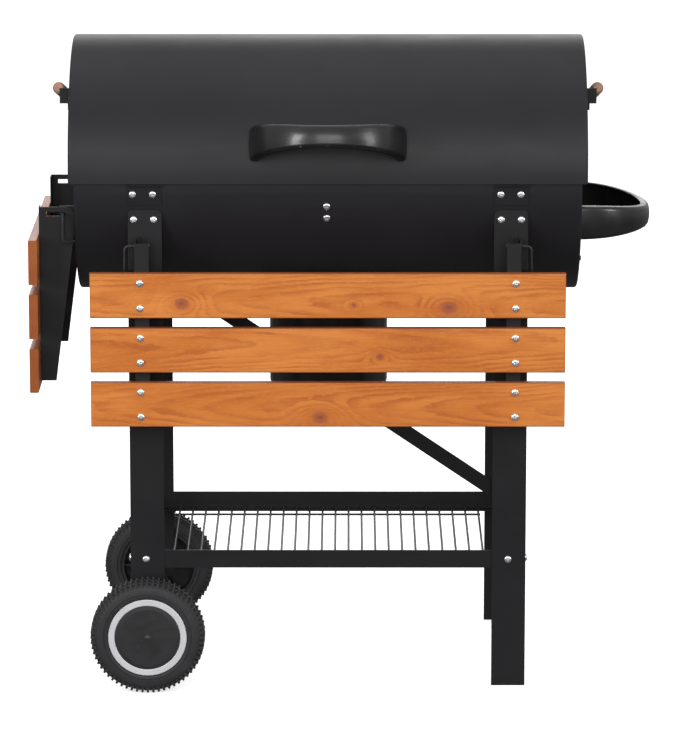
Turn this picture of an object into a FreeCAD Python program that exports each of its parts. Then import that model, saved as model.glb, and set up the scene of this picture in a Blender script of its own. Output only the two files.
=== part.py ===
"""Charcoal barrel grill on a two-wheeled cart, with a folding front shelf and a folding side shelf.

All sizes are millimetres.  X runs along the barrel, -Y is the front, Z is up and the floor is Z = 0.
The barrel's axis is parallel to X, and the formulas below count X and Y from the middle of that axis.
`place` moves that point so that the model's origin is under the middle of the whole object.
"""
import FreeCAD, Part
import math
import os
import re
import Sketcher

SIZES = {
    # where the barrel's middle lies in the model's frame
    "barrel_x": -21.25,
    "barrel_y": 35.18,
    "axis_height": 804.0,
    # barrel shells
    "steel": 1.2,
    "drum_radius": 198.0,
    "drum_half": 392.5,
    "drum_sweep": 183.5,
    "lid_radius": 203.0,
    "lid_half": 401.0,
    "lid_sweep": 180.0,
    "rim_radius": 4.0,
    "rim_depth": 7.0,
    # legs and the beams between them
    "plate": 1.5,
    "leg_inner": 257.0,
    "leg_outer": 310.0,
    "leg_face": 195.0,
    "leg_flange": 30.0,
    "leg_top": 762.0,
    "short_leg_foot": 75.0,
    "leg_corner": 8.0,
    "leg_outline": 80.0,
    "bend": 2.4,
    "beam_low": 191.5,
    "beam_high": 220.0,
    "beam_end": 305.0,
    "beam_ledge": 20.0,
    "ledge_height": 193.0,
    "side_beam_flange": 15.0,
    "bolt_height": 205.5,
    "bolt_column": 284.0,
    "side_bolt_depth": 180.0,
    "brace_left": -296.0,
    "brace_left_height": 607.5,
    "brace_right": 266.0,
    "brace_right_height": 227.6,
    "brace_rise": 14.5,
    "brace_thick": 2.0,
    "brace_bolt_inset": 15.0,
    "brace_bolt_drop": 8.0,
    # wire shelf
    "wire_count": 24.0,
    "wire_pitch": 21.35,
    "wire_radius": 1.75,
    "wire_height": 194.8,
    "wire_reach": 191.6,
    "cross_wire_row": 150.0,
    "cross_wire_drop": 3.2,
    "cross_wire_half": 249.0,
    # lid rests
    "rest_height": 33.0,
    "rest_lip": 9.0,
    "rest_tilt": 4.8,
    # fasteners
    "head_radius": 5.7,
    "head_height": 3.0,
    "shank_radius": 2.5,
    "screw_near": 268.5,
    "screw_far": 299.5,
    "leg_screw_height": 747.0,
    "leg_screw_grip": 14.0,
    "rest_screw_grip": 8.0,
    "bolt_grip": 9.0,
    "middle_screw_upper_tilt": 10.5,
    "middle_screw_lower_tilt": 16.1,
    # shelves, counted from their hinge pin
    "front_pin_depth": 213.5,
    "front_pin_height": 709.0,
    "side_pin_x": -411.5,
    "side_pin_height": 748.0,
    "arm_face": 38.5,
    "arm_back": 16.5,
    "arm_rise": 11.0,
    "arm_drop": 265.0,
    "arm_straight": 28.0,
    "arm_tip": 24.5,
    "arm_flange": 22.0,
    "arm_corner": 12.0,
    "slot_half": 3.25,
    "slot_length": 27.0,
    "slat_width": 70.0,
    "slat_thick": 14.0,
    "slat_pitch": 85.5,
    "slat_first": 33.0,
    "slat_round": 1.6,
    "slat_screw_inset": 15.5,
    "slat_screw_column": 8.5,
    "front_arm": 297.0,
    "front_slat_half": 365.5,
    "side_arm": 150.0,
    "side_slat_half": 200.0,
    "slat_screw_grip": 18.0,
    # shelf hinges
    "pin_radius": 2.25,
    "pin_inner": 18.0,
    "loop_out": 17.0,
    "loop_drop": 42.0,
    "loop_return": 8.0,
    "loop_bend": 7.0,
    "ear_gap": 5.0,
    "ear_half": 12.0,
    "ear_reach": 6.0,
    "ear_foot": 10.0,
    "pin_nut_radius": 4.2,
    "pin_nut_length": 4.0,
    # bow handles
    "bow_radius": 122.0,
    "bow_reach": 117.0,
    "bow_depth": 15.0,
    "bow_skin": 3.0,
    "bow_trim_start": 60.0,
    "bow_trim_length": 260.0,
    "bow_foot_half": 26.5,
    "bow_top_sag": 13.0,
    "bow_low_sag": 6.0,
    "bow_boss": 8.5,
    "bow_boss_depth": 15.0,
    "bow_rib": 2.0,
    "lid_handle_tilt": 17.5,
    "side_handle_height": 727.5,
    # wooden grips on the lid's ends
    "grip_radius": 9.5,
    "grip_out": 419.5,
    "grip_front": 99.5,
    "grip_front_height": 938.0,
    "grip_length": 196.0,
    "grip_slope": 12.0,
    "grip_bracket_high": 24.0,
    "grip_bracket_wide": 17.0,
    "grip_bracket_deep": 16.0,
    # lid hinges
    "lid_pin_row": 210.0,
    "lid_pin_height": 800.0,
    "lid_pin_radius": 2.0,
    "knuckle_radius": 4.5,
    "knuckle_gap": 0.3,
    "pin_play": 0.05,
    "leaf_half": 30.0,
    "leaf_middle": 11.0,
    "leaf_column": 284.0,
    "leaf_drop": 32.0,
    "leaf_rise": 26.0,
    # wheels and axle
    "axle_x": -283.0,
    "axle_radius": 6.0,
    "axle_half": 236.0,
    "wheel_radius": 90.0,
    "wheel_half": 20.0,
    "wheel_row": 221.0,
    "rim_outer": 62.0,
    "rim_inner": 58.0,
    "boss_radius": 15.0,
    "nut_pocket": 12.0,
    "nut_pocket_floor": 8.0,
    "axle_nut_radius": 9.0,
    "hub_web": 3.0,
    "cap_radius": 51.3,
    "ring_inner": 51.5,
    "ring_outer": 61.5,
    # ash bucket and its rails
    "bucket_radius": 93.5,
    "bucket_foot": 441.0,
    "bucket_rim": 600.0,
    "bucket_round": 16.0,
    "bucket_lip": 4.5,
    "bucket_strap": 13.0,
    "rail_gap": 95.0,
    "rail_outer": 100.5,
    "rail_front": 150.0,
    "rail_back": 95.0,
    "rail_hanger": 60.0,
    "ash_hole": 68.0,
    "collar_low": 603.0,
    # grates and their ledges
    "ledge_low": 774.5,
    "ledge_inner": 180.0,
    "ledge_outer": 194.4,
    "ledge_half": 384.0,
    "grate_half": 186.0,
    "grate_gap": 2.0,
    "grate_end": 383.0,
    "grate_wire": 2.5,
    "grate_bar": 1.8,
    "grate_height": 778.6,
    "coal_height": 690.0,
    "coal_half": 154.0,
    "coal_end": 380.0,
    # air vents
    "vent_height": 690.0,
    "vent_radius": 48.0,
    "vent_hole": 11.0,
    "vent_ring": 28.0,
    "vent_rivet": 3.0,
    "vent_knob": 9.0,
}

FRONT, BACK, LEFT, RIGHT = -1, 1, -1, 1
AXIS_X = FreeCAD.Vector(1, 0, 0)
AXIS_Y = FreeCAD.Vector(0, 1, 0)
AXIS_Z = FreeCAD.Vector(0, 0, 1)
TOWARDS = {
    "up": FreeCAD.Rotation(),
    "right": FreeCAD.Rotation(AXIS_Y, 90),
    "left": FreeCAD.Rotation(AXIS_Y, -90),
    "front": FreeCAD.Rotation(AXIS_X, 90),
    "back": FreeCAD.Rotation(AXIS_X, -90),
}
DEAD_LEFT = FreeCAD.Rotation(AXIS_Z, -90)
DEAD_RIGHT = FreeCAD.Rotation(AXIS_Z, 90)

doc = FreeCAD.newDocument("barrel_grill")
sheet = doc.addObject("Spreadsheet::Sheet", "sizes")
for row, (alias, size) in enumerate(SIZES.items(), start=1):
    sheet.set(f"A{row}", str(size))
    sheet.setAlias(f"A{row}", alias)
doc.recompute()

finished = []


# ---------------------------------------------------------------- small helpers

def bind(thing, prop, text):
    """Drive one property by a formula of the sheet's names."""
    text = re.sub(r"[a-z][a-z_]+", lambda word: "sizes." + word[0] if word[0] in SIZES else word[0], text)
    thing.setExpression(prop, text)


def number(text):
    """What a formula of the sheet's names comes to."""
    return float(sheet.evalExpression(text))


def place(thing, spot=("0", "0", "0"), turn=None):
    """Put a thing at a spot counted from under the barrel's middle, turned as asked."""
    thing.Placement = FreeCAD.Placement(FreeCAD.Vector(), turn or FreeCAD.Rotation())
    bind(thing, "Placement.Base.x", f"barrel_x + ({spot[0]})")
    bind(thing, "Placement.Base.y", f"barrel_y + ({spot[1]})")
    bind(thing, "Placement.Base.z", spot[2])
    return thing


def finish(label, thing):
    """Register a finished sub-part under its own name."""
    thing.Label = label
    finished.append(thing)
    return thing


def new_body(spot=("0", "0", "0"), turn=None):
    """An empty body, placed."""
    return place(doc.addObject("PartDesign::Body", "Body"), spot, turn)


def new_sketch(body, plane, offset="0"):
    """A sketch on one of the body's own origin planes, moved along that plane's normal."""
    sketch = body.newObject("Sketcher::SketchObject", "Sketch")
    support = next(item for item in body.Origin.OriginFeatures if item.Role == plane + "_Plane")
    sketch.AttachmentSupport = [(support, "")]
    sketch.MapMode = "FlatFace"
    bind(sketch, "AttachmentOffset.Base.z", offset)
    return sketch


def pin_point(sketch, shape, point, spot):
    """Fix one sketch point to the origin by two formulas."""
    for kind, text in zip(("DistanceX", "DistanceY"), spot):
        index = sketch.addConstraint(Sketcher.Constraint(kind, -1, 1, shape, point, number(text)))
        bind(sketch, f"Constraints[{index}]", text)


def draw_polygon(sketch, corners):
    """A closed outline through corners given as formulas."""
    spots = [FreeCAD.Vector(number(across), number(along), 0) for across, along in corners]
    first = sketch.GeometryCount
    for start, end in zip(spots, spots[1:] + spots[:1]):
        sketch.addGeometry(Part.LineSegment(start, end), False)
    for index, corner in enumerate(corners):
        following = first + (index + 1) % len(corners)
        sketch.addConstraint(Sketcher.Constraint("Coincident", first + index, 2, following, 1))
        pin_point(sketch, first + index, 1, corner)


def draw_circles(sketch, centres, radius):
    """Circles of one radius round centres given as formulas."""
    for across, along in centres:
        centre = FreeCAD.Vector(number(across), number(along), 0)
        circle = sketch.addGeometry(Part.Circle(centre, AXIS_Z, number(radius)), False)
        pin_point(sketch, circle, 3, (across, along))
        index = sketch.addConstraint(Sketcher.Constraint("Radius", circle, number(radius)))
        bind(sketch, f"Constraints[{index}]", radius)


def pad(body, sketch, length, backwards=False):
    """Grow a sketch into the body."""
    feature = body.newObject("PartDesign::Pad", "Pad")
    feature.Profile = sketch
    feature.Reversed = backwards
    bind(feature, "Length", length)
    return feature


def along_x(corners, start, length, spot=("0", "0", "0"), turn=None):
    """A body with the outline `corners` in Y and Z, from X = start over `length` to the right."""
    body = new_body(spot, turn)
    sketch = new_sketch(body, "YZ", start)
    draw_polygon(sketch, corners)
    pad(body, sketch, length)
    return body


def along_y(corners, start, length, spot=("0", "0", "0"), turn=None):
    """A body with the outline `corners` in X and Z, from Y = start over `length` to the back."""
    body = new_body(spot, turn)
    sketch = new_sketch(body, "XZ", f"-({start})")
    draw_polygon(sketch, corners)
    pad(body, sketch, length, backwards=True)
    return body


def along_z(corners, start, length, spot=("0", "0", "0"), turn=None):
    """A body with the outline `corners` in X and Y, from Z = start over `length` upwards."""
    body = new_body(spot, turn)
    sketch = new_sketch(body, "XY", start)
    draw_polygon(sketch, corners)
    pad(body, sketch, length)
    return body


def revolve(corners, plane, axis, sweep="360", spot=("0", "0", "0"), turn=None):
    """A body turned from the outline `corners`, evenly to both sides of its plane."""
    body = new_body(spot, turn)
    sketch = new_sketch(body, plane)
    draw_polygon(sketch, corners)
    feature = body.newObject("PartDesign::Revolution", "Revolution")
    feature.Profile = sketch
    feature.ReferenceAxis = (sketch, [axis])
    feature.Midplane = True
    bind(feature, "Angle", sweep)
    return body


def round_edges(body, radius, wanted):
    """Round those edges of the body that `wanted` picks."""
    doc.recompute()
    base = body.Tip
    names = [f"Edge{index}" for index, edge in enumerate(base.Shape.Edges, start=1) if wanted(edge)]
    feature = body.newObject("PartDesign::Fillet", "Fillet")
    feature.Base = (base, names)
    bind(feature, "Radius", radius)


def runs_along(edge, axis):
    """Whether an edge is straight and parallel to an axis."""
    return edge.Curve.TypeId == "Part::GeomLine" and abs(edge.Curve.Direction.dot(axis)) > 0.999


def block(size, spot, turn=None):
    """A box from its lowest corner."""
    box = place(doc.addObject("Part::Box", "Box"), spot, turn)
    for prop, text in zip(("Length", "Width", "Height"), size):
        bind(box, prop, text)
    return box


def rod(radius, length, spot, turn=None):
    """A round bar that starts at a spot."""
    bar = place(doc.addObject("Part::Cylinder", "Cylinder"), spot, turn)
    bind(bar, "Radius", radius)
    bind(bar, "Height", length)
    return bar


def fuse(pieces):
    """One solid from several that touch."""
    feature = doc.addObject("Part::MultiFuse", "Fusion")
    feature.Shapes = pieces
    feature.Refine = True
    return feature


def group(pieces):
    """Separate solids under one name."""
    feature = doc.addObject("Part::Compound", "Compound")
    feature.Links = pieces
    return feature


def cut(base, *tools):
    """The base with every tool taken away in turn."""
    for tool in tools:
        feature = doc.addObject("Part::Cut", "Cut")
        feature.Base = base
        feature.Tool = tool
        base = feature
    return base


def common(base, tool):
    """What two solids share."""
    feature = doc.addObject("Part::Common", "Common")
    feature.Base = base
    feature.Tool = tool
    return feature


def bent_wire(points, bend, radius, spot, turn):
    """A round wire along straight runs with round bends, from points counted from a spot."""
    corners = [FreeCAD.Vector(*(number(text) for text in point)) for point in points]
    size = number(bend)
    edges = []
    start = corners[0]
    for before, corner, after in zip(corners, corners[1:], corners[2:]):
        into = (corner - before).normalize()
        out = (after - corner).normalize()
        reach = size * math.tan(into.getAngle(out) / 2)
        arc_start = corner - into * reach
        arc_end = corner + out * reach
        inward = (out - into).normalize()
        middle = corner + inward * (size / math.cos(into.getAngle(out) / 2) - size)
        edges.append(Part.LineSegment(start, arc_start).toShape())
        edges.append(Part.Arc(arc_start, middle, arc_end).toShape())
        start = arc_end
    edges.append(Part.LineSegment(start, corners[-1]).toShape())
    profile = Part.Wire(Part.makeCircle(number(radius), corners[0], corners[1] - corners[0]))
    wire = doc.addObject("Part::Feature", "Wire")
    wire.Shape = Part.Wire(edges).makePipeShell([profile], True, True)
    return place(wire, spot, turn)


def screws(centres, plane, seat, outwards, grip, spot=("0", "0", "0"), turn=None):
    """Screws of one size whose heads sit on one plane; `outwards` is +1 or -1 along the axis."""
    body = new_body(spot, turn)
    body.AllowCompound = True
    normal = -1 if plane == "XZ" else 1
    offset = f"{normal} * ({seat})"
    heads = new_sketch(body, plane, offset)
    draw_circles(heads, centres, "head_radius")
    pad(body, heads, "head_height", backwards=outwards != normal)
    shanks = new_sketch(body, plane, offset)
    draw_circles(shanks, centres, "shank_radius")
    pad(body, shanks, grip, backwards=outwards == normal)
    return body


# ---------------------------------------------------------------- barrel shells

def wrap(radius, half, sweep, up):
    """The rolled sheet of one barrel half, between its end caps."""
    edge = f"{half} - rim_depth"
    inner = f"{up} * ({radius} - steel)"
    outer = f"{up} * {radius}"
    corners = [(f"-({edge})", inner), (edge, inner), (edge, outer), (f"-({edge})", outer)]
    return revolve(corners, "XZ", "H_Axis", sweep, ("0", "0", "axis_height"))


def end_cap(radius, half, sweep, up, side):
    """A flat half disc with a rounded rim that closes one end of a barrel half."""
    face = f"{side} * {half}"
    inside = f"{side} * ({half} - steel)"
    edge = f"{side} * ({half} - rim_depth)"
    outer = f"{up} * {radius}"
    inner = f"{up} * ({radius} - steel)"
    corners = [(inside, "0"), (face, "0"), (face, outer), (edge, outer), (edge, inner), (inside, inner)]
    body = revolve(corners, "XZ", "H_Axis", sweep, ("0", "0", "axis_height"))
    for place_x, at_radius, rounding in (
        (number(face), number(radius), "rim_radius"),
        (number(inside), number(radius) - number("steel"), "rim_radius - steel"),
    ):
        def on_rim(edge_found):
            """Whether an edge is the rim's arc."""
            arc = edge_found.Curve.TypeId == "Part::GeomCircle"
            return (
                arc
                and abs(edge_found.Curve.Radius - at_radius) < 0.01
                and abs(edge_found.Curve.Center.x - place_x) < 0.01
            )
        round_edges(body, rounding, on_rim)
    return body


def vent_holes(side):
    """Three round holes through one lower end cap, for air."""
    holes = []
    for turn in (90, 210, 330):
        across = f"vent_ring * cos({turn})"
        height = f"vent_height + vent_ring * sin({turn})"
        holes.append(rod("vent_hole", "20", (f"{side} * drum_half - 10", across, height), TOWARDS["right"]))
    return group(holes)


# ---------------------------------------------------------------- fasteners of the fixed frame

def leg_screws():
    """Two screws at the top of each leg, into the drum."""
    sets = []
    for row, outwards in ((FRONT, FRONT), (BACK, BACK)):
        centres = [(f"{side} * {column}", "leg_screw_height")
                   for side in (LEFT, RIGHT) for column in ("screw_near", "screw_far")]
        sets.append(screws(centres, "XZ", f"{row} * leg_face", outwards, "leg_screw_grip"))
    return sets


def rest_screws():
    """Two screws through each lid rest, square to the drum."""
    centres = [(f"{side} * {column}", "0") for side in (LEFT, RIGHT) for column in ("screw_near", "screw_far")]
    turn = FreeCAD.Rotation(AXIS_X, number("rest_tilt"))
    return screws(centres, "XZ", "-(drum_radius + plate)", FRONT, "rest_screw_grip",
                  ("0", "0", "axis_height"), turn)


def ledge_screws():
    """Two screws one above the other in the middle of the drum's front."""
    pair = []
    for tilt in ("middle_screw_upper_tilt", "middle_screw_lower_tilt"):
        turn = FreeCAD.Rotation(AXIS_X, number(tilt))
        spot = ("0", "0", "axis_height")
        pair.append(screws([("0", "0")], "XZ", "-drum_radius", FRONT, "rest_screw_grip", spot, turn))
    return pair


def beam_bolts():
    """Bolts that hold the beams to the legs."""
    sets = []
    for row in (FRONT, BACK):
        centres = [(f"{side} * bolt_column", "bolt_height") for side in (LEFT, RIGHT)]
        sets.append(screws(centres, "XZ", f"{row} * leg_face", row, "bolt_grip"))
    for side in (LEFT, RIGHT):
        centres = [(f"{row} * side_bolt_depth", "bolt_height") for row in (FRONT, BACK)]
        sets.append(screws(centres, "YZ", f"{side} * leg_outer", side, "bolt_grip"))
    return sets


# ---------------------------------------------------------------- cart

def leg(side, row, foot):
    """An angle-section leg: a broad front plate and one flange on its outer side."""
    near = f"{side} * leg_inner"
    far = f"{side} * leg_outer"
    far_inside = f"{side} * (leg_outer - plate)"
    face = f"{row} * leg_face"
    back = f"{row} * (leg_face - plate)"
    flange = f"{row} * (leg_face - leg_flange)"
    corners = [(near, face), (far, face), (far, flange), (far_inside, flange), (far_inside, back), (near, back)]
    angle = along_z(corners, foot, f"leg_top - {foot}")
    for at_x, at_y, rounding in ((far, face, "bend"), (far_inside, back, "bend - plate")):
        spot = (number(at_x), number(at_y))

        def on_bend(edge):
            """Whether an edge is the leg's bend."""
            middle = edge.CenterOfMass
            return runs_along(edge, AXIS_Z) and math.hypot(middle.x - spot[0], middle.y - spot[1]) < 0.1
        round_edges(angle, rounding, on_bend)
    front = along_y([(near, foot), (far, foot), (far, "leg_top"), (near, "leg_top")],
                    f"{row} * leg_face - leg_outline / 2", "leg_outline")
    top = number("leg_top")

    def on_corner(edge):
        """Whether an edge is a top corner."""
        return runs_along(edge, AXIS_Y) and edge.CenterOfMass.z > top - 1
    round_edges(front, "leg_corner", on_corner)
    return common(angle, front)


def cross_beam(row):
    """The front or rear beam: an angle whose lower flange is a ledge for the wire shelf."""
    web = f"{row} * (leg_face - plate)"
    web_inside = f"{row} * (leg_face - 2 * plate)"
    ledge = f"{row} * (leg_face - 2 * plate - beam_ledge)"
    corners = [
        (web, "beam_low"), (web, "beam_high"), (web_inside, "beam_high"), (web_inside, "ledge_height"),
        (ledge, "ledge_height"), (ledge, "beam_low"),
    ]
    return along_x(corners, "-beam_end", "2 * beam_end")


def side_beam(side):
    """A side beam: an angle, flange at its top, that joins a front leg to a rear leg."""
    web = f"{side} * (leg_outer - plate)"
    web_inside = f"{side} * (leg_outer - 2 * plate)"
    flange = f"{side} * (leg_outer - 2 * plate - side_beam_flange)"
    corners = [
        (web, "beam_low"), (web, "beam_high"), (flange, "beam_high"), (flange, "beam_high - plate"),
        (web_inside, "beam_high - plate"), (web_inside, "beam_low"),
    ]
    return along_y(corners, "-wire_reach", "2 * wire_reach")


def rear_brace():
    """A flat diagonal strip behind the bucket, from high on the left to low on the right."""
    corners = [
        ("brace_left", "brace_left_height - brace_rise"), ("brace_right", "brace_right_height - brace_rise"),
        ("brace_right", "brace_right_height + brace_rise"), ("brace_left", "brace_left_height + brace_rise"),
    ]
    return along_y(corners, "leg_face - 3 * plate - brace_thick", "brace_thick")


def brace_bolts():
    """The bolt and the spacer at the brace's upper end."""
    across = "brace_left + brace_bolt_inset"
    height = "brace_left_height - brace_bolt_drop"
    bolt = screws([(across, height)], "XZ", "leg_face", BACK, "bolt_grip")
    spacer = rod("head_radius", "plate * 2", (across, "leg_face - plate", height), TOWARDS["front"])
    return bolt, spacer


def wire_shelf():
    """Wires from front to back, welded on two cross wires."""
    count = int(number("wire_count"))
    wires = []
    for index in range(count):
        across = f"wire_pitch * ({index} - (wire_count - 1) / 2)"
        wires.append(rod("wire_radius", "2 * wire_reach", (across, "-wire_reach", "wire_height"), TOWARDS["back"]))
    for row in (FRONT, BACK):
        spot = ("-cross_wire_half", f"{row} * cross_wire_row", "wire_height - cross_wire_drop")
        wires.append(rod("wire_radius", "2 * cross_wire_half", spot, TOWARDS["right"]))
    return fuse(wires)


def lid_rest(side):
    """An angle on the drum's front whose lip carries the closed lid's edge."""
    low = "-rest_height / 2"
    high = "rest_height / 2 - plate"
    inner = "-drum_radius"
    outer = "-(drum_radius + plate)"
    lip = "-(drum_radius + rest_lip)"
    corners = [(inner, low), (inner, f"{high} + plate"), (lip, f"{high} + plate"), (lip, high), (outer, high),
               (outer, low)]
    start = "leg_inner" if side == RIGHT else "-leg_outer"
    turn = FreeCAD.Rotation(AXIS_X, number("rest_tilt"))
    return along_x(corners, start, "leg_outer - leg_inner", ("0", "0", "axis_height"), turn)


# ---------------------------------------------------------------- folding shelves

def shelf_arm(side, spacing, spot, turn):
    """A tapered angle: its web swings on the hinge pin and its flange carries the slats."""
    web = along_x(
        [("-arm_face", "arm_rise"), ("arm_back", "arm_rise"), ("arm_back", "-arm_straight"),
         ("arm_tip - arm_face", "-arm_drop"), ("-arm_face", "-arm_drop")],
        f"{side} * {spacing} - plate / 2 * (1 + {side})", "plate", spot, turn)
    edge_y = number("arm_back")
    edge_z = number("arm_rise")

    def on_corner(edge):
        """Whether an edge is the corner above the pin, next to the barrel."""
        middle = edge.CenterOfMass
        return runs_along(edge, AXIS_X) and math.hypot(middle.y - edge_y, middle.z - edge_z) < 0.1
    doc.recompute()
    own_turn = web.Placement
    web.Placement = FreeCAD.Placement()
    round_edges(web, "arm_corner", on_corner)
    web.Placement = own_turn
    start = f"{spacing} - arm_flange" if side == RIGHT else f"-{spacing}"
    flange = along_x(
        [("-arm_face", "arm_rise"), ("plate - arm_face", "arm_rise"), ("plate - arm_face", "-arm_drop"),
         ("-arm_face", "-arm_drop")],
        start, "arm_flange", spot, turn)
    slot = along_x(
        [("-slot_length", "-slot_half"), ("0", "-slot_half"), ("0", "slot_half"), ("-slot_length", "slot_half")],
        f"{side} * {spacing} - 10", "20", spot, turn)
    slot_round = new_body(spot, turn)
    sketch = new_sketch(slot_round, "YZ", f"{side} * {spacing} - 10")
    draw_circles(sketch, [("0", "0")], "slot_half")
    pad(slot_round, sketch, "20")
    return cut(fuse([web, flange]), slot, slot_round)


def slat_screws(spacing, spot, turn):
    """Two screws where each slat crosses each arm."""
    centres = []
    for index in range(3):
        for inset in ("slat_screw_inset", "slat_width - slat_screw_inset"):
            for side in (LEFT, RIGHT):
                across = f"{side} * ({spacing} - slat_screw_column)"
                centres.append((across, f"-(slat_first + {index} * slat_pitch + {inset})"))
    return screws(centres, "XZ", "-(arm_face + slat_thick)", FRONT, "slat_screw_grip", spot, turn)


def slat(index, half, spot, turn):
    """A planed wooden slat with eased edges."""
    top = f"-(slat_first + {index} * slat_pitch)"
    low = f"{top} - slat_width"
    body = along_x(
        [("-arm_face - slat_thick", low), ("-arm_face", low), ("-arm_face", top),
         ("-arm_face - slat_thick", top)],
        f"-{half}", f"2 * {half}")
    round_edges(body, "slat_round", lambda edge: runs_along(edge, AXIS_X))
    return place(body, spot, turn)


def folding_shelf(name, spacing, half, spot, turn):
    """Two arms, three slats and their screws, all counted from the hinge pin."""
    fixings = slat_screws(spacing, spot, turn)
    for side, word in ((LEFT, "left"), (RIGHT, "right")):
        finish(f"{name}_shelf_{word}_arm", cut(shelf_arm(side, spacing, spot, turn), fixings))
    for index, word in enumerate(("top", "middle", "bottom")):
        finish(f"{name}_shelf_{word}_slat", cut(slat(index, half, spot, turn), fixings))
    finish(f"{name}_shelf_screws", fixings)


def shelf_hinges(spacing, back, spot, turn):
    """Fixed ears and the bent wires that are the shelf's hinge pins; `back` is the mounting face."""
    ears = []
    wires = []
    trim = along_x(
        [(back, "-2 * loop_drop"), (f"{back} + 20", "-2 * loop_drop"), (f"{back} + 20", "20"), (back, "20")],
        f"-({spacing} + 40)", f"2 * ({spacing} + 40)", spot, turn)
    for side in (LEFT, RIGHT):
        ear_face = f"{side} * ({spacing} - ear_gap)"
        ear_inside = f"{side} * ({spacing} - ear_gap - plate)"
        foot_end = f"{side} * ({spacing} - ear_gap - ear_foot)"
        ear = along_z(
            [(ear_face, "-ear_reach"), (ear_face, back), (foot_end, back), (foot_end, f"{back} - plate"),
             (ear_inside, f"{back} - plate"), (ear_inside, "-ear_reach")],
            "-ear_half", "2 * ear_half", spot, turn)
        points = [
            (f"{side} * ({spacing} - pin_inner)", "0", "0"),
            (f"{side} * ({spacing} + loop_out)", "0", "0"),
            (f"{side} * ({spacing} + loop_out)", "0", "-loop_drop"),
            (f"{side} * ({spacing} + loop_return)", back, "-loop_drop"),
        ]
        wire = bent_wire(points, "loop_bend", "pin_radius", spot, turn)
        wires.append(cut(wire, trim))
        ears.append(cut(ear, wire))
        nut = new_body(spot, turn)
        sketch = new_sketch(nut, "YZ", f"{side} * ({spacing} - pin_inner) - pin_nut_length * (1 + {side}) / 2")
        draw_circles(sketch, [("0", "0")], "pin_nut_radius")
        pad(nut, sketch, "pin_nut_length")
        wires.append(nut)
    return ears, wires


# ---------------------------------------------------------------- bow handles

def bow_handle(spot, turn, wall):
    """A hollow bow of moulded plastic that is open towards the barrel, with ribs and two bosses."""
    top_curve = "(bow_radius ^ 2 + bow_top_sag ^ 2) / (2 * bow_top_sag)"
    low_curve = "(bow_radius ^ 2 + bow_low_sag ^ 2) / (2 * bow_low_sag)"
    centre = "bow_radius - bow_reach"

    def disc(radius):
        """A thick upright disc about the bow's own centre."""
        body = new_body(spot, turn)
        sketch = new_sketch(body, "XY", "-bow_foot_half")
        draw_circles(sketch, [("0", centre)], radius)
        pad(body, sketch, "2 * bow_foot_half")
        return body

    def trimmed(base, inset):
        """The band with its upper and lower edges curved in, less an inset."""
        pieces = []
        for sign, curve, sag in ((1, top_curve, "bow_top_sag"), (-1, low_curve, "bow_low_sag")):
            body = new_body(spot, turn)
            sketch = new_sketch(body, "XZ", "-bow_trim_start")
            height = f"{sign} * (bow_foot_half - {sag} + {curve})"
            draw_circles(sketch, [("0", height)], f"{curve} + {inset}")
            pad(body, sketch, "bow_trim_length")
            pieces.append(body)
        return cut(base, *pieces)

    band = trimmed(cut(disc("bow_radius"), disc("bow_radius - bow_depth")), "0")
    hollow = trimmed(cut(disc("bow_radius - bow_skin"), disc("bow_radius - bow_depth - 6")), "bow_skin")
    shell = cut(band, hollow)
    ribs = []
    for angle in (30, 50, 70, 90, 110, 130, 150):
        body = new_body(spot, turn)
        sketch = new_sketch(body, "XY", "-bow_foot_half + bow_low_sag + 1")
        reach_in = "(bow_radius - bow_depth + 2)"
        reach_out = "(bow_radius - bow_skin / 2)"
        half = "bow_rib / 2"
        cos_a = f"cos({angle})"
        sin_a = f"sin({angle})"
        draw_polygon(sketch, [
            (f"{reach_in} * {cos_a} - {half} * {sin_a}", f"{centre} - {reach_in} * {sin_a} - {half} * {cos_a}"),
            (f"{reach_out} * {cos_a} - {half} * {sin_a}", f"{centre} - {reach_out} * {sin_a} - {half} * {cos_a}"),
            (f"{reach_out} * {cos_a} + {half} * {sin_a}", f"{centre} - {reach_out} * {sin_a} + {half} * {cos_a}"),
            (f"{reach_in} * {cos_a} + {half} * {sin_a}", f"{centre} - {reach_in} * {sin_a} + {half} * {cos_a}"),
        ])
        pad(body, sketch, "2 * bow_foot_half - bow_low_sag - bow_top_sag - 2")
        ribs.append(body)
    bosses = []
    for side in (LEFT, RIGHT):
        body = new_body(spot, turn)
        sketch = new_sketch(body, "XZ", "-4")
        draw_circles(sketch, [(f"{side} * (bow_radius - bow_depth / 2 - 2)", "0")], "bow_boss")
        pad(body, sketch, "bow_boss_depth + 4")
        bosses.append(body)
    return cut(fuse([shell] + ribs + bosses), wall)


# ---------------------------------------------------------------- lid fittings

def grip_bracket(side, front, height):
    """A small angle on the lid's end that holds one end of a wooden grip."""
    inner = f"{side} * lid_half"
    outer = f"{side} * (lid_half + grip_bracket_wide)"
    corners = [
        (inner, front), (outer, front), (outer, f"{front} + plate"),
        (f"{side} * (lid_half + plate)", f"{front} + plate"),
        (f"{side} * (lid_half + plate)", f"{front} + grip_bracket_deep"), (inner, f"{front} + grip_bracket_deep"),
    ]
    return along_z(corners, height, "grip_bracket_high")


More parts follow.
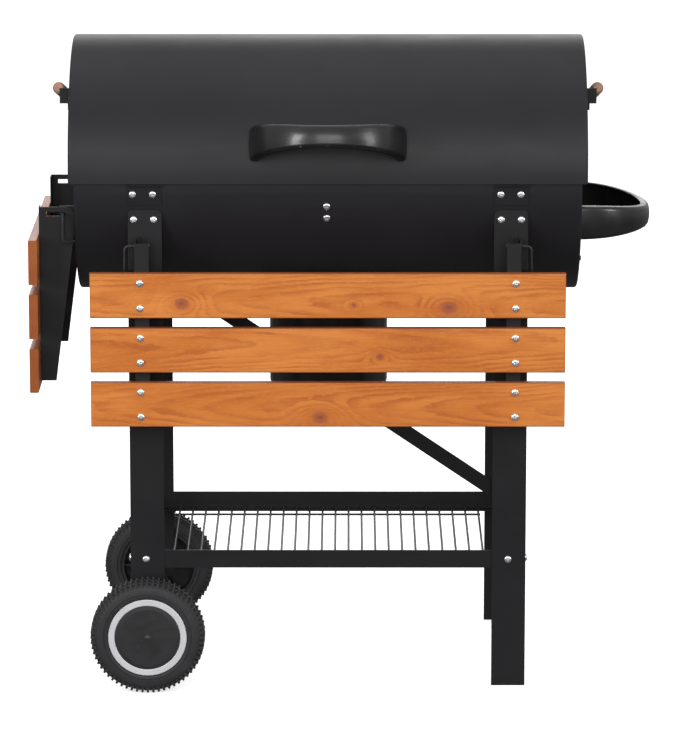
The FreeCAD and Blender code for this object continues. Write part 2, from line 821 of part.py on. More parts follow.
def wooden_grip(side):
    """A dowel with a rounded front end that slopes down to the back."""
    spot = (f"{side} * grip_out", "-grip_front + 2.2", "grip_front_height")
    turn = FreeCAD.Rotation(AXIS_X, -90 - number("grip_slope"))
    dowel = place(doc.addObject("PartDesign::Body", "Body"), spot, turn)
    sketch = new_sketch(dowel, "XY")
    draw_circles(sketch, [("0", "0")], "grip_radius")
    pad(dowel, sketch, "grip_length")
    doc.recompute()
    names = [f"Edge{index}" for index, edge in enumerate(dowel.Tip.Shape.Edges, start=1)
             if edge.Curve.TypeId == "Part::GeomCircle"]
    base = dowel.Tip
    feature = dowel.newObject("PartDesign::Fillet", "Fillet")
    feature.Base = (base, names)
    bind(feature, "Radius", "grip_radius / 2")
    return dowel


def hinge_leaf(side, fixed):
    """One leaf of a lid hinge with its share of the knuckles."""
    centre = f"{side} * leaf_column"
    row = "lid_pin_row"
    height = "lid_pin_height"
    if fixed:
        plate = along_x(
            [("drum_radius", f"{height} - leaf_drop"), ("drum_radius + plate", f"{height} - leaf_drop"),
             ("drum_radius + plate", f"{height} - knuckle_radius + plate"),
             ("drum_radius", f"{height} - knuckle_radius + plate")],
            f"{centre} - leaf_half", "2 * leaf_half")
        spans = [(f"{centre} - leaf_half", "leaf_half - leaf_middle"),
                 (f"{centre} + leaf_middle", "leaf_half - leaf_middle")]
        tongue_low = f"{height} - knuckle_radius"
        tongue_start = "drum_radius"
        bore = "lid_pin_radius"
    else:
        plate = along_x(
            [("lid_radius", "axis_height"), ("lid_radius + plate", "axis_height"),
             ("lid_radius + plate", "axis_height + leaf_rise"), ("lid_radius", "axis_height + leaf_rise")],
            f"{centre} - leaf_half", "2 * leaf_half")
        spans = [(f"{centre} - leaf_middle + knuckle_gap", "2 * (leaf_middle - knuckle_gap)")]
        tongue_low = f"{height} + knuckle_radius - plate"
        tongue_start = "lid_radius"
        bore = "lid_pin_radius + pin_play"
    pieces = [plate]
    holes = []
    for start, length in spans:
        pieces.append(block((length, f"{row} - {tongue_start}", "plate"), (start, tongue_start, tongue_low)))
        pieces.append(rod("knuckle_radius", length, (start, row, height), TOWARDS["right"]))
        holes.append(rod(bore, length, (start, row, height), TOWARDS["right"]))
    return cut(fuse(pieces), *holes)


# ---------------------------------------------------------------- wheels

def wheel(name, row):
    """A tyre, a dished hub, a bright ring and a cap, turned about the axle."""
    spot = ("axle_x", f"{row} * wheel_row", "wheel_radius")
    turn = TOWARDS["front"] if row == FRONT else TOWARDS["back"]
    tyre = revolve(
        [("rim_outer", "-wheel_half + 3"), ("rim_outer + 8", "-wheel_half"), ("wheel_radius - 8", "-wheel_half"),
         ("wheel_radius", "-wheel_half + 5"), ("wheel_radius", "wheel_half - 5"),
         ("wheel_radius - 8", "wheel_half"), ("rim_outer + 8", "wheel_half"), ("rim_outer", "wheel_half - 3")],
        "XZ", "V_Axis", "360", spot, turn)
    hub = revolve(
        [("axle_radius + pin_play", "-wheel_half"), ("boss_radius", "-wheel_half"),
         ("boss_radius", "wheel_half - 3 - hub_web"), ("rim_inner", "wheel_half - 3 - hub_web"),
         ("rim_inner", "-wheel_half + 3"), ("rim_outer", "-wheel_half + 3"), ("rim_outer", "wheel_half - 3"),
         ("nut_pocket", "wheel_half - 3"), ("nut_pocket", "nut_pocket_floor"),
         ("axle_radius + pin_play", "nut_pocket_floor")],
        "XZ", "V_Axis", "360", spot, turn)
    spokes = []
    for angle in range(0, 360, 60):
        body = new_body(spot, turn)
        sketch = new_sketch(body, "XY", "-wheel_half + 8")
        reach = ("(boss_radius - 1)", "(rim_inner + 1)")
        offsets = ((reach[0], -1), (reach[1], -1), (reach[1], 1), (reach[0], 1))
        draw_polygon(sketch, [
            (f"{far} * cos({angle}) - {side} * 1.5 * sin({angle})",
             f"{far} * sin({angle}) + {side} * 1.5 * cos({angle})") for far, side in offsets])
        pad(body, sketch, "2 * wheel_half - 8 - 3 - hub_web")
        spokes.append(body)
    cap = revolve(
        [("0", "wheel_half - 3"), ("cap_radius", "wheel_half - 3"), ("cap_radius", "wheel_half - 1.6"),
         ("cap_radius - 6", "wheel_half - 0.8"), ("0", "wheel_half - 0.4")],
        "XZ", "V_Axis", "360", spot, turn)
    ring = revolve(
        [("ring_inner", "wheel_half - 3"), ("ring_outer", "wheel_half - 3"), ("ring_outer", "wheel_half - 1.5"),
         ("ring_outer - 1", "wheel_half - 0.5"), ("ring_inner + 1", "wheel_half - 0.5"),
         ("ring_inner", "wheel_half - 1.5")],
        "XZ", "V_Axis", "360", spot, turn)
    finish(f"{name}_tyre", tyre)
    finish(f"{name}_wheel_hub", fuse([hub] + spokes))
    finish(f"{name}_wheel_ring", ring)
    finish(f"{name}_wheel_cap", cap)


# ---------------------------------------------------------------- inside and underneath

def grate(start, length, half, height, count):
    """A wire grate: a frame of four wires with bars across it, welded together."""
    wires = []
    for row in (FRONT, BACK):
        spot = (start, f"{row} * ({half} - grate_wire)", height)
        wires.append(rod("grate_wire", length, spot, TOWARDS["right"]))
    for index in range(count):
        across = f"{start} + grate_wire + ({length} - 2 * grate_wire) * {index} / {count - 1}"
        wires.append(rod("grate_bar", f"2 * ({half} - grate_wire)", (across, f"-({half} - grate_wire)", height),
                         TOWARDS["back"]))
    return fuse(wires)


def grate_ledge(row):
    """A strip inside the drum that carries the cooking grates."""
    start = "-ledge_outer" if row == FRONT else "ledge_inner"
    return block(("2 * ledge_half", "ledge_outer - ledge_inner", "plate"), ("-ledge_half", start, "ledge_low"))


def bucket_rail(side):
    """A slim angle that the bucket's lip slides on, hung from the drum by a curved plate."""
    web_start = "rail_outer - plate" if side == RIGHT else "-rail_outer"
    flange_start = "rail_gap" if side == RIGHT else "-rail_outer"
    low = "bucket_rim - steel - plate - 0.1"
    flange = block(("rail_outer - rail_gap", "rail_front + rail_back", "plate"), (flange_start, "-rail_front", low))
    web = block(("plate", "rail_front + rail_back", "9"), (web_start, "-rail_front", low))
    hanger = block(("plate", "2 * rail_hanger", "40"), (web_start, "-rail_hanger", low))
    return fuse([flange, web, hanger])


def ash_bucket():
    """A round-bottomed pot with an outward lip."""
    corners = [
        ("0", "bucket_foot"), ("bucket_radius", "bucket_foot"), ("bucket_radius", "bucket_rim - steel"),
        ("bucket_radius + bucket_lip", "bucket_rim - steel"), ("bucket_radius + bucket_lip", "bucket_rim"),
        ("bucket_radius - steel", "bucket_rim"), ("bucket_radius - steel", "bucket_foot + steel"),
        ("0", "bucket_foot + steel"),
    ]
    body = revolve(corners, "XZ", "V_Axis", "360")
    for radius, height, rounding in (
        ("bucket_radius", "bucket_foot", "bucket_round"),
        ("bucket_radius - steel", "bucket_foot + steel", "bucket_round - steel"),
    ):
        at = (number(radius), number(height))

        def on_foot(edge):
            """Whether an edge is the circle round the foot."""
            round_edge = edge.Curve.TypeId == "Part::GeomCircle"
            return round_edge and abs(edge.Curve.Radius - at[0]) < 0.01 and abs(edge.Curve.Center.z - at[1]) < 0.01
        round_edges(body, rounding, on_foot)
    strap = block(("bucket_strap", "2.5", "bucket_rim - bucket_foot - 30"),
                  ("8 - bucket_strap / 2", "-bucket_radius - 1.8", "bucket_foot + 28"))
    return fuse([body, strap])


def vent_damper(side):
    """A turning disc with three holes and a small knob."""
    face = f"{side} * (drum_half + 0.3)"
    turn = TOWARDS["right"] if side == RIGHT else TOWARDS["left"]
    disc = rod("vent_radius", "steel", (face, "0", "vent_height"), turn)
    knob = rod("4", "vent_knob", (face, "0", "vent_height - vent_radius + 8"), turn)
    bore = rod("vent_rivet + pin_play", "10", (face, "0", "vent_height"), turn)
    return cut(fuse([disc, knob]), vent_holes(side), bore)


def vent_rivet(side):
    """The rivet that a damper turns on."""
    inward = f"{side} * (drum_half - 3)"
    head = f"{side} * (drum_half + 0.6 + steel)"
    turn = TOWARDS["right"] if side == RIGHT else TOWARDS["left"]
    shank = rod("vent_rivet", "4.5", (inward, "0", "vent_height"), turn)
    cap = rod("6", "1.5", (head, "0", "vent_height"), turn)
    return fuse([shank, cap])


# ---------------------------------------------------------------- build everything

def build():
    """Make every sub-part."""
    upper_fixings = leg_screws() + [rest_screws()] + ledge_screws()
    drum_fixings = group(upper_fixings)
    bolts = beam_bolts()
    brace_bolt, brace_spacer = brace_bolts()
    frame_fixings = group(bolts + [brace_bolt])
    barrel = rod("drum_radius", "2 * drum_half", ("-drum_half", "0", "axis_height"), TOWARDS["right"])
    axle = rod("axle_radius", "2 * axle_half", ("axle_x", "-axle_half", "wheel_radius"), TOWARDS["back"])
    rivets = [vent_rivet(side) for side in (LEFT, RIGHT)]
    rivet_group = group(rivets)

    # the lower drum
    ash_hole = rod("ash_hole", "60", ("0", "0", "axis_height - drum_radius - 10"))
    shell = wrap("drum_radius", "drum_half", "drum_sweep", -1)
    finish("drum_wrap", cut(shell, drum_fixings, ash_hole))
    side_spot = ("drum_half", "0", "side_handle_height")
    side_wall = block(("drum_half", "2 * drum_radius", "200"), ("0", "-drum_radius", "side_handle_height - 100"))
    side_bow_screws = screws(
        [(f"{side} * (bow_radius - bow_depth / 2 - 2)", "0") for side in (LEFT, RIGHT)], "XZ", "steel", BACK,
        "14", side_spot, DEAD_RIGHT)
    for side, word in ((LEFT, "left"), (RIGHT, "right")):
        cap = end_cap("drum_radius", "drum_half", "drum_sweep", -1, side)
        tools = [vent_holes(side), rivet_group] + ([side_bow_screws] if side == RIGHT else [])
        finish(f"drum_{word}_cap", cut(cap, *tools))
        finish(f"{word}_vent_damper", vent_damper(side))
    finish("vent_rivets", rivet_group)
    finish("side_handle", cut(bow_handle(side_spot, DEAD_RIGHT, side_wall), side_bow_screws))

    # the cart
    for row, row_word in ((FRONT, "front"), (BACK, "rear")):
        for side, side_word in ((LEFT, "left"), (RIGHT, "right")):
            foot = "short_leg_foot" if side == LEFT else "0"
            tools = [barrel, drum_fixings, frame_fixings] + ([axle] if side == LEFT else [])
            finish(f"{row_word}_{side_word}_leg", cut(leg(side, row, foot), *tools))
        finish(f"{row_word}_beam", cut(cross_beam(row), frame_fixings))
    finish("side_beams", cut(group([side_beam(side) for side in (LEFT, RIGHT)]), frame_fixings))
    finish("rear_brace", cut(rear_brace(), frame_fixings))
    finish("wire_shelf", wire_shelf())
    finish("lid_rests", cut(group([lid_rest(side) for side in (LEFT, RIGHT)]), drum_fixings))
    finish("drum_screws", group([drum_fixings, side_bow_screws]))
    finish("frame_bolts", group([frame_fixings, cut(brace_spacer, brace_bolt)]))

    # the folding shelves and their hinges
    front_spot = ("0", "-front_pin_depth", "front_pin_height")
    side_shelf_spot = ("side_pin_x", "0", "side_pin_height")
    folding_shelf("front", "front_arm", "front_slat_half", front_spot, FreeCAD.Rotation())
    folding_shelf("side", "side_arm", "side_slat_half", side_shelf_spot, DEAD_LEFT)
    front_hinges = shelf_hinges("front_arm", "front_pin_depth - leg_face", front_spot, FreeCAD.Rotation())
    side_hinges = shelf_hinges("side_arm", "-(drum_half + side_pin_x)", side_shelf_spot, DEAD_LEFT)
    for label, front_set, side_set in zip(("ears", "wires"), front_hinges, side_hinges):
        finish(f"shelf_hinge_{label}", group(front_set + side_set))

    # the lid
    for side, word in ((LEFT, "left"), (RIGHT, "right")):
        finish(f"lid_{word}_cap", end_cap("lid_radius", "lid_half", "lid_sweep", 1, side))
    tilt = number("lid_handle_tilt")
    lean = FreeCAD.Rotation(AXIS_X, -tilt)
    lid_spot = (
        "0", f"-lid_radius * cos({tilt})", f"axis_height + lid_radius * sin({tilt})")
    lid_barrel = rod("lid_radius", "2 * lid_half", ("-lid_half", "0", "axis_height"), TOWARDS["right"])
    lid_bow_screws = screws(
        [(f"{side} * (bow_radius - bow_depth / 2 - 2)", "0") for side in (LEFT, RIGHT)], "XZ", "steel", BACK,
        "14", lid_spot, lean)
    finish("lid_wrap", cut(wrap("lid_radius", "lid_half", "lid_sweep", 1), lid_bow_screws))
    finish("lid_handle", cut(bow_handle(lid_spot, lean, lid_barrel), lid_bow_screws))
    finish("lid_handle_screws", lid_bow_screws)
    brackets = []
    for side in (LEFT, RIGHT):
        brackets.append(grip_bracket(side, "-grip_front - plate", "grip_front_height - grip_bracket_high"))
        drop = "(grip_length + 1) * sin(grip_slope)"
        back = "-grip_front + grip_length * cos(grip_slope) + 2.5"
        brackets.append(grip_bracket(side, back, f"grip_front_height - {drop} - grip_bracket_high"))
    finish("grip_brackets", group(brackets))
    finish("wooden_grips", group([wooden_grip(side) for side in (LEFT, RIGHT)]))
    finish("lid_hinge_fixed_leaves", group([hinge_leaf(side, True) for side in (LEFT, RIGHT)]))
    finish("lid_hinge_lid_leaves", group([hinge_leaf(side, False) for side in (LEFT, RIGHT)]))
    finish("lid_hinge_pins", group([
        rod("lid_pin_radius", "2 * leaf_half", (f"{side} * leaf_column - leaf_half", "lid_pin_row", "lid_pin_height"),
            TOWARDS["right"]) for side in (LEFT, RIGHT)]))

    # wheels and axle
    finish("axle", axle)
    nut_parts = []
    for row, turn in ((FRONT, TOWARDS["front"]), (BACK, TOWARDS["back"])):
        nut_parts.append(rod("axle_nut_radius", "5", ("axle_x", f"{row} * (wheel_row + nut_pocket_floor + 0.1)",
                                                      "wheel_radius"), turn))
        nut_parts.append(rod("axle_nut_radius", "wheel_row - wheel_half - leg_face - 0.1",
                             ("axle_x", f"{row} * leg_face", "wheel_radius"), turn))
    finish("axle_nuts", cut(group(nut_parts), axle))
    wheel("front", FRONT)
    wheel("rear", BACK)

    # underneath and inside
    finish("bucket_rails", cut(group([bucket_rail(side) for side in (LEFT, RIGHT)]), barrel))
    tube = rod("ash_hole + steel", "60", ("0", "0", "collar_low"))
    finish("ash_collar", cut(tube, rod("ash_hole", "60", ("0", "0", "collar_low")), barrel))
    finish("ash_bucket", ash_bucket())
    finish("grate_ledges", group([grate_ledge(row) for row in (FRONT, BACK)]))
    length = "grate_end - grate_gap"
    finish("left_cooking_grate", grate("-grate_end", length, "grate_half", "grate_height", 19))
    finish("right_cooking_grate", grate("grate_gap", length, "grate_half", "grate_height", 19))
    finish("charcoal_grate", grate("-coal_end", "2 * coal_end", "coal_half", "coal_height", 25))


def write_parts():
    """Check every object, then write each sub-part's file."""
    doc.recompute()
    for item in doc.Objects:
        if "Invalid" in item.State or "Error" in item.State:
            raise RuntimeError(f"{item.Name} ({item.Label}) failed: {item.State}")
    os.makedirs("parts", exist_ok=True)
    whole = FreeCAD.BoundBox()
    for item in finished:
        if item.Shape.isNull() or not item.Shape.isValid():
            raise RuntimeError(f"{item.Label} has no valid shape")
        whole.add(item.Shape.BoundBox)
    for item in finished:
        item.Shape.exportStep(f"parts/{item.Label}.step")
    print(len(finished), "sub-parts, box", whole)


build()
write_parts()
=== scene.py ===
"""Looks of the charcoal barrel grill: procedural materials for every part of the frame, knobby tyres,
cross-head screws, moulded bow handles, a floor, soft lights and a camera.

All lengths are metres.  X runs along the barrel, -Y is the front, Z is up and the floor is Z = 0.
"""
import math
from typing import NamedTuple

import bmesh
import bpy
import numpy as np
from mathutils import Matrix, Vector


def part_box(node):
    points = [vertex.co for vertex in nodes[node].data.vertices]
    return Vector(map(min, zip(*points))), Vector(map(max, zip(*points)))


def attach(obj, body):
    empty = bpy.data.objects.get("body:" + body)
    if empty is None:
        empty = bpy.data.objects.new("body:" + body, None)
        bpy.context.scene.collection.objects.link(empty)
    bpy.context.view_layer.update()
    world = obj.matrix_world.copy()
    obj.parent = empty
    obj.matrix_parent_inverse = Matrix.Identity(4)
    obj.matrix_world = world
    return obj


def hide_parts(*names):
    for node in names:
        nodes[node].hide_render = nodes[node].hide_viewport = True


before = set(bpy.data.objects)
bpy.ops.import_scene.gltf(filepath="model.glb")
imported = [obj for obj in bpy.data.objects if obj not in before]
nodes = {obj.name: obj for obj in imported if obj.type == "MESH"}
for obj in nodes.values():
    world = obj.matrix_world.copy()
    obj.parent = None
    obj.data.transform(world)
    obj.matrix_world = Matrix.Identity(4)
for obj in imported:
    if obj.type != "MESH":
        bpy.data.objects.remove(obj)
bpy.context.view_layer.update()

MM = 0.001


# ---------------------------------------------------------------- material nodes

class Graph:
    """One material's nodes.  Calls return the socket that carries their value."""

    def __init__(self, name):
        self.material = bpy.data.materials.new(name)
        self.material.use_nodes = True
        self.tree = self.material.node_tree
        self.tree.nodes.clear()
        output = self.tree.nodes.new("ShaderNodeOutputMaterial")
        self.shader = self.tree.nodes.new("ShaderNodeBsdfPrincipled")
        self.tree.links.new(self.shader.outputs[0], output.inputs[0])
        self.place = self.node("ShaderNodeTexCoord").outputs["Object"]

    def node(self, kind, **settings):
        made = self.tree.nodes.new(kind)
        for key, value in settings.items():
            setattr(made, key, value)
        return made

    def feed(self, socket, value):
        """Links a socket's value, or sets a plain number or colour."""
        if isinstance(value, bpy.types.NodeSocket):
            self.tree.links.new(value, socket)
        else:
            socket.default_value = value

    def math(self, operation, first, second=0.0):
        made = self.node("ShaderNodeMath", operation=operation)
        self.feed(made.inputs[0], first)
        self.feed(made.inputs[1], second)
        return made.outputs[0]

    def add(self, first, second):
        return self.math("ADD", first, second)

    def subtract(self, first, second):
        return self.math("SUBTRACT", first, second)

    def multiply(self, first, second):
        return self.math("MULTIPLY", first, second)

    def divide(self, first, second):
        return self.math("DIVIDE", first, second)

    def square(self, value):
        return self.math("POWER", self.math("ABSOLUTE", value), 2.0)

    def hypotenuse(self, first, second):
        return self.math("SQRT", self.add(self.square(first), self.square(second)))

    def scaled(self, factors, vector=None, shift=(0.0, 0.0, 0.0)):
        """A vector, or else the object's own coordinates, times some factors, plus a shift."""
        made = self.node("ShaderNodeMapping")
        self.feed(made.inputs["Vector"], vector or self.place)
        made.inputs["Scale"].default_value = factors
        made.inputs["Location"].default_value = shift
        return made.outputs[0]

    def noise(self, scale, detail=3.0, rough=0.5, vector=None, distortion=0.0):
        made = self.node("ShaderNodeTexNoise")
        self.feed(made.inputs["Vector"], vector or self.place)
        self.feed(made.inputs["Scale"], scale)
        self.feed(made.inputs["Detail"], detail)
        self.feed(made.inputs["Roughness"], rough)
        self.feed(made.inputs["Distortion"], distortion)
        return made.outputs["Fac"]

    def cells(self, scale):
        """The distance to the nearest of many scattered points."""
        made = self.node("ShaderNodeTexVoronoi")
        self.feed(made.inputs["Vector"], self.place)
        self.feed(made.inputs["Scale"], scale)
        return made.outputs["Distance"]

    def remap(self, value, low, high, to_low=0.0, to_high=1.0):
        """A smooth step from one range to another."""
        made = self.node("ShaderNodeMapRange", interpolation_type="SMOOTHSTEP")
        self.feed(made.inputs["Value"], value)
        names = ("From Min", "From Max", "To Min", "To Max")
        for name, number in zip(names, (low, high, to_low, to_high)):
            self.feed(made.inputs[name], number)
        return made.outputs[0]

    def blend(self, factor, first, second):
        """A mix of two colours."""
        made = self.node("ShaderNodeMix", data_type="RGBA", blend_type="MIX")
        self.feed(made.inputs[0], factor)
        for socket, value in ((made.inputs[6], first), (made.inputs[7], second)):
            self.feed(socket, value if isinstance(value, bpy.types.NodeSocket) else (*value, 1.0))
        return made.outputs[2]

    def bump(self, height, strength, distance, below=None):
        made = self.node("ShaderNodeBump")
        self.feed(made.inputs["Height"], height)
        made.inputs["Strength"].default_value = strength
        made.inputs["Distance"].default_value = distance
        if below is not None:
            self.feed(made.inputs["Normal"], below)
        return made.outputs[0]

    def surface(self, **values):
        """Sets the shader's inputs; underscores stand for spaces."""
        for key, value in values.items():
            self.feed(self.shader.inputs[key.replace("_", " ")], value)
        return self.material


def paint(name, dark, light, rough, peel, grain, coat=0.0, sheen=0.3):
    """Baked black paint: orange peel, faint clouding, a few dust specks and handling marks."""
    graph = Graph(name)
    clouds = graph.noise(scale=5.0, detail=4.0, rough=0.6)
    colour = graph.blend(graph.remap(clouds, 0.25, 0.75), dark, light)
    specks = graph.remap(graph.cells(190.0), 0.085, 0.03)
    patches = graph.remap(graph.noise(scale=31.0, detail=2.0), 0.58, 0.72)
    dust = graph.multiply(graph.multiply(specks, patches), 0.4)
    colour = graph.blend(dust, colour, (0.12, 0.115, 0.11))
    smear = graph.noise(scale=9.0, detail=5.0, rough=0.65, vector=graph.scaled((1.0, 1.0, 2.2)))
    gloss = graph.remap(smear, 0.2, 0.8, rough - 0.035, rough + 0.045)
    fine = graph.noise(scale=grain, detail=2.0, rough=0.5)
    slow = graph.noise(scale=grain / 6.0, detail=1.0, rough=0.4)
    relief = graph.bump(slow, peel * 0.35, 0.2 * MM, graph.bump(fine, peel, 0.2 * MM))
    return graph.surface(
        Base_Color=colour, Roughness=gloss, Normal=relief, Specular_IOR_Level=sheen,
        Coat_Weight=coat, Coat_Roughness=0.25)


# ---------------------------------------------------------------- pine slats

PALE_STAIN = (0.700, 0.238, 0.046)
DEEP_STAIN = (0.560, 0.158, 0.022)
LATE_WOOD = (0.40, 0.090, 0.012)
DARK_FIBRE = (0.38, 0.090, 0.012)
SILKY_FLECK = (0.80, 0.35, 0.090)
KNOT_HALO = (0.46, 0.110, 0.020)
KNOT_CORE = (0.170, 0.036, 0.016)
KNOT_HEART = (0.330, 0.088, 0.036)
DARK_EDGE = (0.20, 0.040, 0.010)
RING_PITCH = 3.4 * MM
PITH_DEPTH = 50 * MM


class Knot(NamedTuple):
    """A knot's place along and up the slat, counted from its middle, and its size."""
    along: float
    up: float
    size: float


class Board(NamedTuple):
    """How one slat was sawn: the axis that it runs along, its place in the tree and its knots."""
    axis: int
    seed: float
    pith_height: float
    pith_lean: float
    pith_slope: float
    knots: tuple


BOARDS = {
    "front_shelf_top_slat": Board(
        axis=0, seed=1.0, pith_height=-0.012, pith_lean=0.020, pith_slope=0.030,
        knots=(Knot(-0.225, -0.012, 0.0105), Knot(0.186, -0.018, 0.0120), Knot(0.040, -0.014, 0.0040))),
    "front_shelf_middle_slat": Board(
        axis=0, seed=2.0, pith_height=0.010, pith_lean=-0.015, pith_slope=-0.022,
        knots=(Knot(0.080, -0.009, 0.0058), Knot(-0.282, -0.018, 0.0030))),
    "front_shelf_bottom_slat": Board(
        axis=0, seed=3.0, pith_height=-0.004, pith_lean=0.010, pith_slope=0.040,
        knots=(Knot(-0.012, -0.020, 0.0115),)),
    "side_shelf_top_slat": Board(
        axis=1, seed=4.0, pith_height=0.015, pith_lean=0.020, pith_slope=0.034,
        knots=(Knot(0.085, 0.010, 0.0070),)),
    "side_shelf_middle_slat": Board(
        axis=1, seed=5.0, pith_height=-0.010, pith_lean=-0.024, pith_slope=0.026,
        knots=(Knot(-0.110, -0.012, 0.0060),)),
    "side_shelf_bottom_slat": Board(
        axis=1, seed=6.0, pith_height=0.004, pith_lean=0.012, pith_slope=-0.036,
        knots=(Knot(0.020, 0.014, 0.0085),)),
}


def varnished_pine(name, node, board):
    """Stained and varnished pine: growth rings about a sloping pith, knots that push the rings aside,
    pores and dark edges."""
    low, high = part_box(node)
    middle = (low + high) / 2
    half = (high - low) / 2
    graph = Graph(name)
    split = graph.node("ShaderNodeSeparateXYZ")
    graph.feed(split.inputs[0], graph.place)
    across = 1 if board.axis == 0 else 0
    length = graph.subtract(split.outputs[board.axis], middle[board.axis])
    depth = graph.subtract(split.outputs[across], middle[across])
    width = graph.subtract(split.outputs[2], middle[2])
    point = graph.node("ShaderNodeCombineXYZ")
    for socket, value in zip(point.inputs, (length, depth, width)):
        graph.feed(socket, value)
    plank = point.outputs[0]
    elsewhere = (board.seed * 3.7, board.seed * 1.3, board.seed * 2.1)

    def grain(lengthwise, crosswise, detail, rough, distortion=0.0):
        """Noise drawn out along the slat, different on each slat."""
        vector = graph.scaled((lengthwise, crosswise, crosswise), plank, elsewhere)
        return graph.noise(1.0, detail, rough, vector, distortion)

    def swing(noise, reach):
        """Noise about zero, times a length."""
        return graph.multiply(graph.subtract(noise, 0.5), reach)

    sway = swing(grain(5.0, 14.0, 2.0, 0.5), 22 * MM)
    flutter = swing(grain(45.0, 120.0, 3.0, 0.6), 2.2 * MM)
    lean = graph.add(sway, graph.multiply(length, board.pith_lean))
    side = graph.add(graph.subtract(width, board.pith_height), lean)
    back = graph.add(graph.subtract(depth, PITH_DEPTH), graph.multiply(length, board.pith_slope))
    radius = graph.add(graph.hypotenuse(side, back), flutter)
    heart = 0.0
    halo = 0.0
    core = 1.0
    for knot in board.knots:
        run = graph.divide(graph.subtract(length, knot.along), knot.size)
        lift = graph.divide(graph.subtract(width, knot.up), knot.size * 0.8)
        wobble = graph.multiply(grain(210.0, 260.0, 3.0, 0.6), 0.9)
        span = graph.add(graph.hypotenuse(run, lift), wobble)
        spread = graph.add(graph.square(graph.divide(run, 3.4)), graph.square(graph.divide(lift, 2.2)))
        push = graph.math("EXPONENT", graph.multiply(spread, -1.0))
        radius = graph.add(radius, graph.multiply(push, knot.size * 1.5))
        heart = graph.math("MAXIMUM", heart, graph.remap(span, 1.75, 1.15))
        halo = graph.math("MAXIMUM", halo, graph.remap(span, 3.6, 1.2))
        core = graph.math("MINIMUM", core, graph.remap(span, 0.35, 1.1))

    phase = graph.math("FRACT", graph.divide(radius, RING_PITCH))
    early = graph.remap(phase, 0.0, 0.12, 1.0, 0.0)
    late = graph.remap(phase, 0.35, 0.95)
    boldness = graph.remap(grain(9.0, 60.0, 3.0, 0.6), 0.35, 0.7, 0.12, 0.75)
    ring = graph.multiply(graph.math("MAXIMUM", early, late), boldness)
    stain = graph.remap(grain(6.0, 22.0, 4.0, 0.55), 0.32, 0.68)
    fibre = grain(16.0, 900.0, 3.0, 0.6)
    figure = grain(110.0, 420.0, 4.0, 0.7, distortion=0.6)

    colour = graph.blend(stain, PALE_STAIN, DEEP_STAIN)
    colour = graph.blend(ring, colour, LATE_WOOD)
    colour = graph.blend(graph.remap(fibre, 0.35, 0.75, 0.0, 0.28), colour, DARK_FIBRE)
    colour = graph.blend(graph.remap(figure, 0.52, 0.72, 0.0, 0.30), colour, SILKY_FLECK)
    colour = graph.blend(graph.multiply(halo, 0.42), colour, KNOT_HALO)
    knot_colour = graph.blend(core, KNOT_CORE, KNOT_HEART)
    colour = graph.blend(graph.multiply(heart, 0.82), colour, knot_colour)
    top, end = half[2], half[board.axis]
    rim_up = graph.remap(graph.math("ABSOLUTE", width), top - 2.6 * MM, top - 0.2 * MM)
    rim_end = graph.remap(graph.math("ABSOLUTE", length), end - 1.6 * MM, end + 0.2 * MM)
    rim = graph.math("MAXIMUM", rim_up, rim_end)
    colour = graph.blend(graph.multiply(rim, 0.72), colour, DARK_EDGE)
    gloss = graph.remap(fibre, 0.3, 0.7, 0.36, 0.50)
    grooves = graph.add(graph.multiply(ring, -0.6), graph.multiply(fibre, 0.5))
    relief = graph.bump(grooves, 0.22, 0.4 * MM)
    return graph.surface(
        Base_Color=colour, Roughness=gloss, Normal=relief, Specular_IOR_Level=0.35,
        Coat_Weight=0.12, Coat_Roughness=0.24)


# ---------------------------------------------------------------- other materials

def turned_dowel(name):
    """Grey-pink stained hardwood with close straight grain."""
    graph = Graph(name)
    fibre = graph.noise(scale=1.0, detail=4.0, rough=0.65, vector=graph.scaled((700.0, 22.0, 700.0)))
    cloud = graph.noise(scale=30.0)
    colour = graph.blend(graph.remap(cloud, 0.35, 0.65), (0.43, 0.225, 0.145), (0.30, 0.150, 0.098))
    colour = graph.blend(graph.remap(fibre, 0.45, 0.75, 0.0, 0.6), colour, (0.15, 0.062, 0.036))
    return graph.surface(
        Base_Color=colour, Roughness=graph.remap(fibre, 0.3, 0.7, 0.42, 0.58),
        Normal=graph.bump(fibre, 0.25, 0.3 * MM), Coat_Weight=0.15, Coat_Roughness=0.3)


def bright_metal(name, base, shade, rough, tint=(0.62, 0.60, 0.52)):
    """Plated steel: a cloudy passivated film, fine scratches and small dull spots."""
    graph = Graph(name)
    film = graph.remap(graph.noise(scale=85.0, detail=4.0, rough=0.6), 0.35, 0.7)
    colour = graph.blend(film, base, shade)
    spots = graph.remap(graph.noise(scale=230.0, detail=2.0), 0.56, 0.7, 0.0, 0.4)
    colour = graph.blend(spots, colour, tint)
    scratch = graph.noise(scale=1.0, detail=2.0, rough=0.7, vector=graph.scaled((260.0, 2400.0, 2400.0)))
    gloss = graph.remap(graph.noise(scale=320.0), 0.3, 0.7, rough - 0.07, rough + 0.12)
    return graph.surface(
        Base_Color=colour, Metallic=1.0, Roughness=gloss, Normal=graph.bump(scratch, 0.12, 0.1 * MM))


